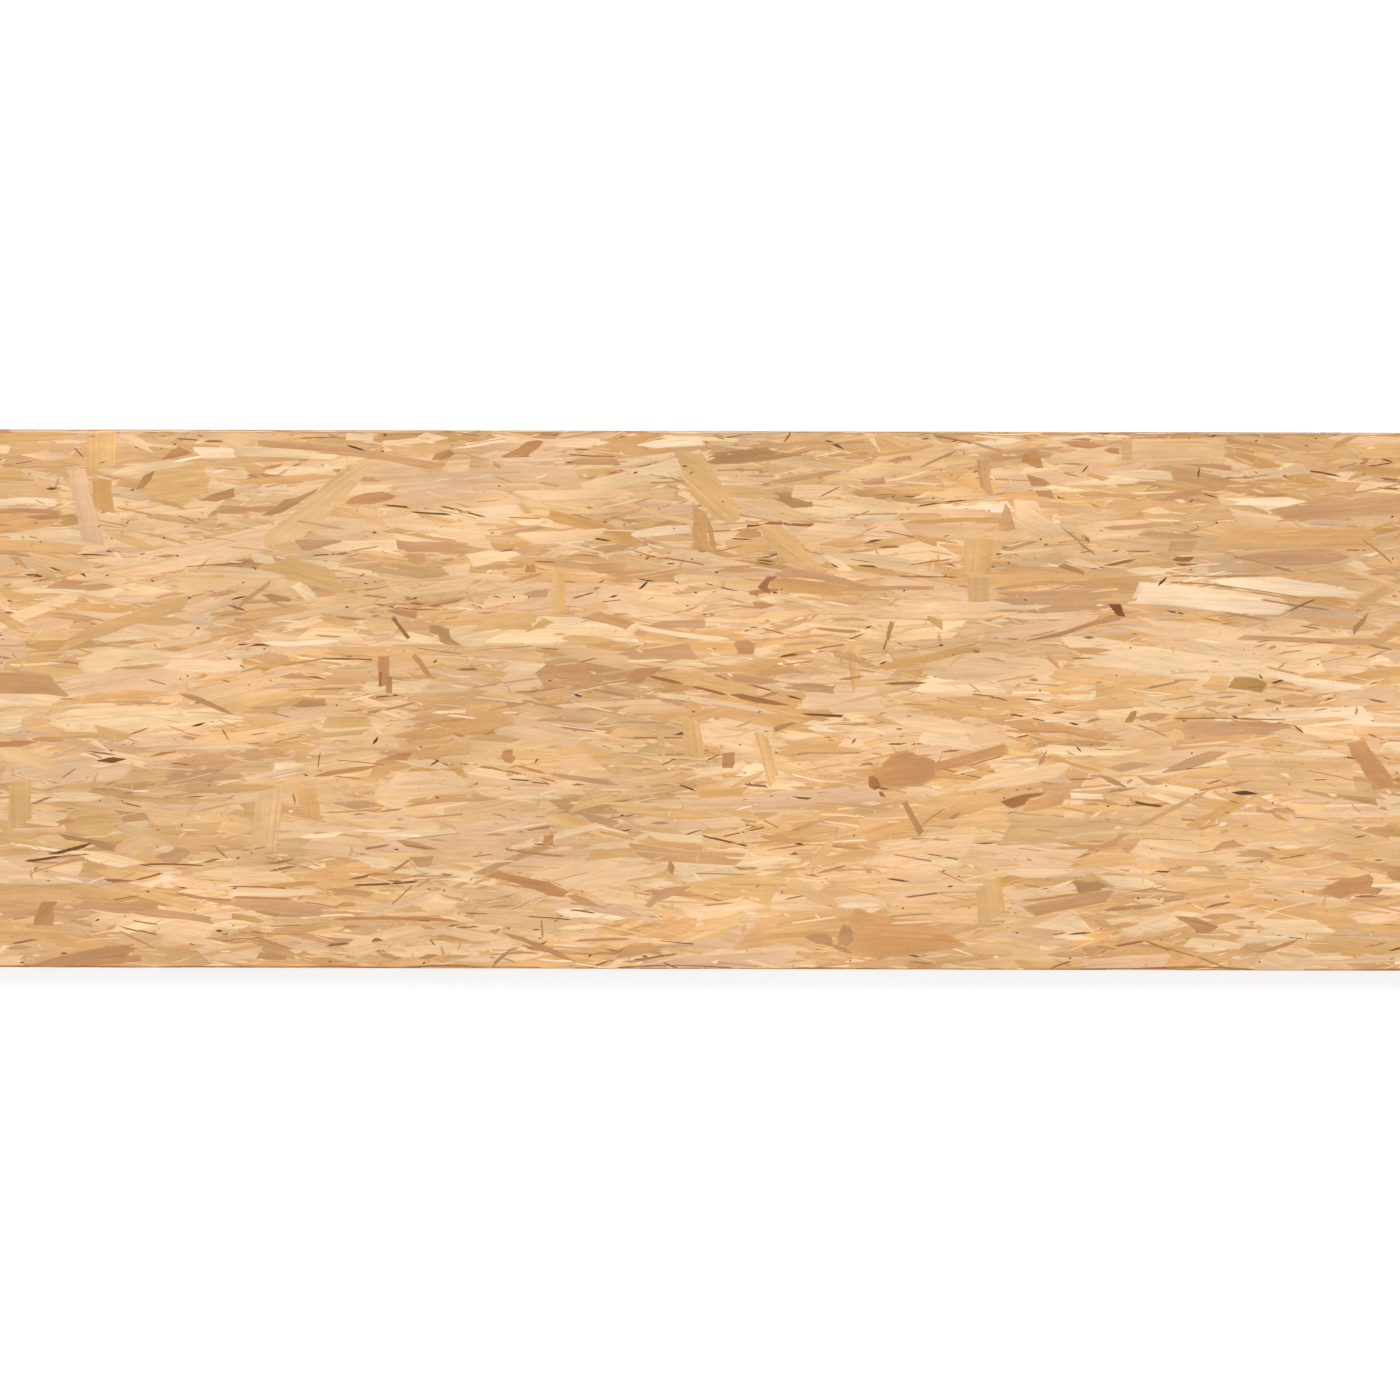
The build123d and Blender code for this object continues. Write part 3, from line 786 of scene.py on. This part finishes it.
def lay(face, strands, material, names, skin, root_depth, rim, setback):
    """Lays strands on a face as pieces, each a full-length band of the face."""
    strands = showing(face, strands)
    deepest = stacked(face, strands)
    shells = [Shell() for _ in names]
    t_low, t_high = face.t_range
    for index, strand in enumerate(strands):
        level = face.reach - skin * (1 - strand.level / deepest)
        # No two cut ends share one plane, or they would shade each other black.
        inset = setback(level) + CUT_STEP * (index % CUT_STEPS)
        low = (face.s_range[0] + inset, t_low + inset)
        high = (face.s_range[1] - inset, t_high - inset)
        points = clipped(strand.points, low, high)
        if points is None or abs(signed_area(points)) < LEAST_AREA:
            continue
        if signed_area(points) < 0:
            points = points[::-1]
        strand.points = points
        share = (points[:, 1].mean() - t_low) / (t_high - t_low)
        shell = shells[min(len(names) - 1, max(0, int(share * len(names))))]
        shell.strand(face, strand, level, face.reach - root_depth, rim)
    for shell, name in zip(shells, names):
        shell.piece(name, material)


# Materials

# The wood's noises: waves to the metre along the grain and across it, detail and roughness.
STREAKS = ((10, 560), 3, 0.6)
BANDS = ((9, 130), 2, 0.55)
FIBRES = ((70, 2600), 2, 0.5)
BLOTCHES = ((28, 60), 3, 0.5)
FLECKS = ((260, 1500), 1, 0.4)
MARKS = (((8, 26), 0.13), ((70, 330), 0.05))  # waves and depth of marks that cross the strands
# Values of the noises between which their effects grow from nothing to all.
USUAL = (0.25, 0.75)
MIDDLE = (0.3, 0.7)
FLECKED = (0.68, 0.76)
LATE = (0.40, 0.26)
WARM = (0.5, 0.32)
LATE_SHARE = 0.45
LATEWOOD = (0.84, 0.66, 0.48, 1.0)
WARM_PARTS = (1.0, 0.93, 0.80, 1.0)
ROUGHNESS_SPREAD = 0.09
SPECULAR = 0.3
RELIEF = 0.0002  # metres


def feed(tree, node, entry, given):
    """Gives an entry a value, a node's first output or, as (node, name), another of its outputs."""
    if isinstance(given, bpy.types.Node):
        given = (given, 0)
    if isinstance(given, tuple) and isinstance(given[0], bpy.types.Node):
        tree.links.new(given[0].outputs[given[1]], node.inputs[entry])
    else:
        node.inputs[entry].default_value = given


def add(tree, kind, fed=None, **settings):
    """A new node with its settings and with what its entries are fed."""
    node = tree.nodes.new(kind)
    for key, value in settings.items():
        setattr(node, key, value)
    for entry, given in (fed or {}).items():
        feed(tree, node, entry, given)
    return node


def noise(tree, source, scale, detail, roughness):
    """Noise stretched along the grain: scale is (along, across), in waves to the metre."""
    mapping = add(tree, "ShaderNodeMapping", {"Scale": (scale[0], scale[1], scale[1]), "Vector": source})
    return add(tree, "ShaderNodeTexNoise",
               {"Scale": 1.0, "Detail": detail, "Roughness": roughness, "Vector": mapping})


def spanned(tree, source, low, high, to_low, to_high):
    """A value between two limits, brought to lie between two others."""
    return add(tree, "ShaderNodeMapRange",
               {"From Min": low, "From Max": high, "To Min": to_low, "To Max": to_high, "Value": source})


def joined(tree, operation, first, second):
    """Two values put together by one operation."""
    return add(tree, "ShaderNodeMath", {0: first, 1: second}, operation=operation)


def multiplied(tree, source, colour, factor):
    """A colour multiplied by a second one, as far as the factor says."""
    return add(tree, "ShaderNodeMix", {"B": colour, "Factor": factor, "A": source},
               data_type="RGBA", blend_type="MULTIPLY")


def wood(name, streak, fibre, blotch, band, fleck, roughness, bump):
    """Wood whose grain runs along each strand, on top of the strand's own tone."""
    material = bpy.data.materials.new(name)
    material.use_nodes = True
    tree = material.node_tree
    grain = add(tree, "ShaderNodeUVMap", uv_map="grain")
    tone = add(tree, "ShaderNodeAttribute", attribute_name="tone")
    streaks, bands, fibres, blotches, flecks = [
        noise(tree, grain, *values) for values in (STREAKS, BANDS, FIBRES, BLOTCHES, FLECKS)]

    value = spanned(tree, streaks, *USUAL, 1 - streak, 1 + streak)
    for source, depth in ((fibres, fibre), (blotches, blotch), (bands, band)):
        value = joined(tree, "MULTIPLY", value, spanned(tree, source, *USUAL, 1 - depth, 1 + depth))
    value = joined(tree, "MULTIPLY", value, spanned(tree, flecks, *FLECKED, 1.0, 1 - fleck))
    # Resin and pressure leave marks that run on from strand to strand.
    position = add(tree, "ShaderNodeTexCoord")
    for scale, depth in MARKS:
        marks = noise(tree, (position, "Object"), scale, 3, 0.6)
        value = joined(tree, "MULTIPLY", value, spanned(tree, marks, *MIDDLE, 1 - depth, 1 + depth))
    lit = add(tree, "ShaderNodeVectorMath", {0: (tone, "Color"), "Scale": value}, operation="SCALE")

    # Latewood lines are redder than the strand, and parts of a strand are warmer than the rest of it.
    late = multiplied(tree, lit, LATEWOOD, spanned(tree, streaks, *LATE, 0.0, LATE_SHARE))
    warm = multiplied(tree, (late, "Result"), WARM_PARTS, spanned(tree, bands, *WARM, 0.0, 1.0))
    gloss = spanned(tree, blotches, *MIDDLE, roughness - ROUGHNESS_SPREAD, roughness + ROUGHNESS_SPREAD)
    relief = joined(tree, "ADD", streaks, fibres)
    raised = add(tree, "ShaderNodeBump", {"Strength": bump, "Distance": RELIEF, "Height": relief})
    shader = tree.nodes["Principled BSDF"]
    feed(tree, shader, "Base Color", (warm, "Result"))
    feed(tree, shader, "Roughness", gloss)
    feed(tree, shader, "Specular IOR Level", SPECULAR)
    feed(tree, shader, "Normal", raised)
    return material


face_wood = wood("face_strands", streak=0.085, fibre=0.05, blotch=0.07, band=0.05, fleck=0.30,
                 roughness=0.55, bump=0.35)
edge_wood = wood("sawn_strands", streak=0.06, fibre=0.08, blotch=0.05, band=0.03, fleck=0.3,
                 roughness=0.75, bump=0.5)


# Core

def make_core(material):
    """The pressed body behind the strands, with the voids of the sawn edges, whose sides are painted umber as
    the shade deep in those voids.
    """
    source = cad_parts[NODE]
    core = new_object("osb_core", source.data.copy())
    core.data.materials.clear()
    core.data.materials.append(material)
    count = len(core.data.vertices)
    places = np.empty(count * 3, np.float32)
    core.data.vertices.foreach_get("co", places)
    places = places.reshape(-1, 3)
    inset = np.array([CORE_EDGE, CORE_EDGE, 1]) * CORE_INSET * MM
    low = np.array(cad_low) + inset
    high = np.array(cad_high) - inset
    places = np.clip(places, low, high)
    core.data.vertices.foreach_set("co", places.ravel().astype(np.float32))
    # Painted shade: the core's sides are umber, so the gaps between the edge strands look like deep dark
    # voids; its faces take the ground tone.
    shade = np.tile([*TONES["umber"], 1.0], (count, 1)).astype(np.float32)
    flat = (places[:, 2] < low[2] + 1e-5) | (places[:, 2] > high[2] - 1e-5)
    shade[flat, :3] = GROUND
    tones = core.data.attributes.new("tone", "FLOAT_COLOR", "POINT")
    tones.data.foreach_set("color", shade.ravel())
    if not core.data.uv_layers:
        core.data.uv_layers.new(name="grain")
    core.data.uv_layers[0].name = "grain"
    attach(core, BODY)
    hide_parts(NODE)


make_core(edge_wood)


# Top and underside

RIM = (0.2, 0.5)  # drop and width of a strand's rim
LEAST_SETBACK = 0.06  # how far behind the sawn edges the face strands end
LIT_ARRIS_ROW = 0.5  # how far the rows of slivers lie inside the arrises: a pale row as painted light on the lit back arris, a brown row as painted shade on the front one
SHADED_ARRIS_ROW = 0.45
TOP_BANDS = 12
UNDER_BANDS = 6
UNDER_SHARE = 0.55  # of the top's random strands to the square metre
RANDOM_VEINS = 0.35  # how richly random strands are veined, and those of the photograph
PLACED_VEINS = 0.8


def arris_setback(level):
    return max(LEAST_SETBACK, level - (THICK - ARRIS))


def lay_face(name, strands, bands):
    names = [f"{name}_strands_{i + 1:02d}" for i in range(bands)]
    lay(FACES[name], strands, face_wood, names, SKIN, ROOT, RIM, arris_setback)


rng = random.Random(20)
top = FACES["top"]
under = FACES["under"]
lay_face("top", (
    ground_strands(rng, top)
    + veins(rng, random_strands(rng, top, FACE_KINDS), RANDOM_VEINS)
    + random_strands(rng, top, [FINE_SLIVERS])
    + veins(rng, placed(rng, FIELDS, between), PLACED_VEINS)
    + veins(rng, placed(rng, PATCHES, cornered), PLACED_VEINS)
    + placed(rng, SLIVERS, between)
    + placed(rng, SPECKS, speck)
    # Painted light: pale slivers along the back arris, which faces the sun. Painted shade: brown slivers
    # along the front arris, which faces away from it.
    + painted_arris_rows(rng, half_width - LIT_ARRIS_ROW, ("cream", "white", "pale"))
    + painted_arris_rows(rng, SHADED_ARRIS_ROW - half_width, ("brown", "fawn", "brown"))
), TOP_BANDS)
lay_face("under", (
    ground_strands(rng, under)
    + random_strands(rng, under, FACE_KINDS, UNDER_SHARE)
), UNDER_BANDS)


# Sawn edges: the strands near the faces run along the panel, and those between them across it,
# so each edge shows one of the two lengthwise and the other cut across.

EDGE_TONES = dict(tan=16, straw=16, pale=10, dun=14, sand=8, mauve=6, russet=7, fawn=6, brown=5, umber=2)
ALONG = Kind(72000, (14, 95), (0.5, 1.05), 0.0, 0.006, 6.0, "pl", 0.0, EDGE_TONES)
ACROSS = Kind(255000, (5, 24), (0.5, 1.15), 0.0, 0.03, 6.0, "pls", 0.0, EDGE_TONES)
FACE_LAYER = 5.0  # thickness of the layer near each face
LAYER_OVERLAP = 0.8  # where the middle layer starts, as a share of it
EDGE_RIM = (0.03, 0.06)


def edge_strands(rng, face, outer, inner):
    """Strands cut through on an edge: one kind near both faces, another between them."""
    laid = []
    t_low, t_high = face.t_range
    for low, high, kind in ((t_low, t_low + FACE_LAYER, outer), (t_high - FACE_LAYER, t_high, outer),
                            (t_low + FACE_LAYER * LAYER_OVERLAP, t_high - FACE_LAYER * LAYER_OVERLAP, inner)):
        laid += random_strands(rng, face._replace(t_range=(low, high)), [kind])
    rng.shuffle(laid)
    return laid


for name, outer, inner in (("front", ALONG, ACROSS), ("back", ALONG, ACROSS),
                           ("right", ACROSS, ALONG), ("left", ACROSS, ALONG)):
    lay(FACES[name], edge_strands(rng, FACES[name], outer, inner), edge_wood, [f"edge_strands_{name}"],
        EDGE_SKIN, EDGE_ROOT, EDGE_RIM, lambda level: 0.0)


# Floor, light and camera

ROOM_LIGHT = 0.708  # strength of the light from all sides
SUN = 1.18
SUN_ANGLE = 20  # degrees
SUN_FROM = (0.1, 0.75, 1.0)
FLOOR_SIZE = 8.0
FLOOR_DROP = 0.0002
FLOOR_GREY = 0.8  # what the object gets back from the floor
FLOOR_SEEN = 0.32  # what the camera sees: this grey, which takes the shadow, and a glow
FLOOR_GLOW = 0.74
SEEN_WIDTH = 0.832  # the part of the panel's length that the photograph shows, straight down
CAMERA_ROLL = 0.0025
CAMERA_LENS = 100
CAMERA_SENSOR = 36


def make_floor():
    half = FLOOR_SIZE / 2
    mesh = bpy.data.meshes.new("floor")
    corners = [(-half, -half, 0), (half, -half, 0), (half, half, 0), (-half, half, 0)]
    mesh.from_pydata(corners, [], [(0, 1, 2, 3)])
    floor = new_object("floor", mesh)
    floor.location.z = -FLOOR_DROP
    material = bpy.data.materials.new("pale_floor")
    material.use_nodes = True
    tree = material.node_tree
    tree.nodes.clear()
    path = add(tree, "ShaderNodeLightPath")
    plain, soft = [add(tree, "ShaderNodeBsdfDiffuse", {"Color": (grey, grey, grey, 1)})
                   for grey in (FLOOR_GREY, FLOOR_SEEN)]
    glow = add(tree, "ShaderNodeEmission", {"Strength": FLOOR_GLOW})
    seen = add(tree, "ShaderNodeAddShader", {0: soft, 1: glow})
    either = add(tree, "ShaderNodeMixShader", {"Fac": (path, "Is Camera Ray"), 1: plain, 2: seen})
    add(tree, "ShaderNodeOutputMaterial", {"Surface": either})
    mesh.materials.append(material)


def make_light():
    """White all round to the camera, to gloss and to glass, and the plain light level to the rest."""
    world = bpy.data.worlds.new("studio")
    bpy.context.scene.world = world
    world.use_nodes = True
    tree = world.node_tree
    path = add(tree, "ShaderNodeLightPath")
    shown = joined(tree, "MAXIMUM", (path, "Is Camera Ray"), (path, "Is Glossy Ray"))
    shown = joined(tree, "MAXIMUM", shown, (path, "Is Transmission Ray"))
    background = tree.nodes["Background"]
    feed(tree, background, "Color", (1, 1, 1, 1))
    feed(tree, background, "Strength", spanned(tree, shown, 0.0, 1.0, ROOM_LIGHT, 1.0))
    lamp = bpy.data.lights.new("window", "SUN")
    lamp.energy = SUN
    lamp.angle = math.radians(SUN_ANGLE)
    sun = new_object("window", lamp)
    sun.rotation_euler = Vector(SUN_FROM).to_track_quat("Z", "Y").to_euler()


def make_camera():
    camera = bpy.data.cameras.new("camera")
    camera.lens = CAMERA_LENS
    camera.sensor_width = CAMERA_SENSOR
    holder = new_object("camera", camera)
    distance = SEEN_WIDTH / 2 / (camera.sensor_width / 2 / camera.lens)
    holder.location = (0, 0, cad_high.z + distance)
    holder.rotation_euler = (0, 0, CAMERA_ROLL)
    bpy.context.scene.camera = holder


make_floor()
make_light()
make_camera()
bpy.context.scene.view_settings.view_transform = "Standard"
